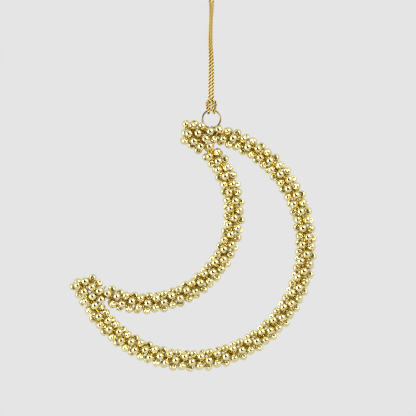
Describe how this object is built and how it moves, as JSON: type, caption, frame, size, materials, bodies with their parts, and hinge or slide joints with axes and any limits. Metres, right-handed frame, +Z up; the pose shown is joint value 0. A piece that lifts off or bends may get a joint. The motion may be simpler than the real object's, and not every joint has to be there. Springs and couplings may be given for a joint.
{
  "type": "crescent ornament",
  "caption": "Hanging crescent moon of two bent wires wound with round gold beads, on a jump ring and a doubled cord.",
  "frame": {"origin": "the point in the eye of the cord where a hook carries it", "axes": "+X to the right seen from the front, +Y away from the viewer through the flat crescent, +Z up the cord"},
  "size_m": [0.1236, 0.0116, 0.2126],
  "materials": {
    "bead_gold": "metallised mirror gold",
    "string_brass": "bright drawn",
    "frame_brass": "drawn",
    "braze": "as run",
    "ring_brass": "bright",
    "cord_gold": "metallic twisted yarn"
  },
  "bodies": {
    "cord_top": {"cord_wrap": "cord_gold", "cord_strand_left": "cord_gold", "cord_strand_right": "cord_gold"},
    "hitch": {"cord_hitch": "cord_gold"},
    "ring": {"hanging_ring": "ring_brass"},
    "crescent": {"outer_frame_wire": "frame_brass", "inner_frame_wire": "frame_brass", "upper_tip_braze": "braze", "lower_tip_braze": "braze", "outer_upper_string": "string_brass", "outer_belly_string": "string_brass", "outer_lower_string": "string_brass", "inner_upper_string": "string_brass", "inner_lower_string": "string_brass", "upper_tip_string": "string_brass", "lower_tip_string": "string_brass", "outer_upper_beads": "bead_gold", "outer_belly_beads": "bead_gold", "outer_lower_beads": "bead_gold", "inner_upper_beads": "bead_gold", "inner_lower_beads": "bead_gold", "upper_tip_beads": "bead_gold", "lower_tip_beads": "bead_gold"}
  },
  "joints": [
    {"name": "cord_twist", "type": "hinge", "parent": "cord_top", "child": "hitch", "pos_m": [0, 0, -0.059], "axis": [0, 0, 1], "range_deg": [-180, 180], "deforming": ["cord_strand_left", "cord_strand_right"]},
    {"name": "ring_rock", "type": "hinge", "parent": "hitch", "child": "ring", "pos_m": [0, 0, -0.0655], "axis": [1, 0, 0], "range_deg": [-60, 60]},
    {"name": "crescent_swing", "type": "hinge", "parent": "ring", "child": "crescent", "pos_m": [0, 0, -0.0737], "axis": [0, 1, 0], "range_deg": [-12, 12]}
  ]
}
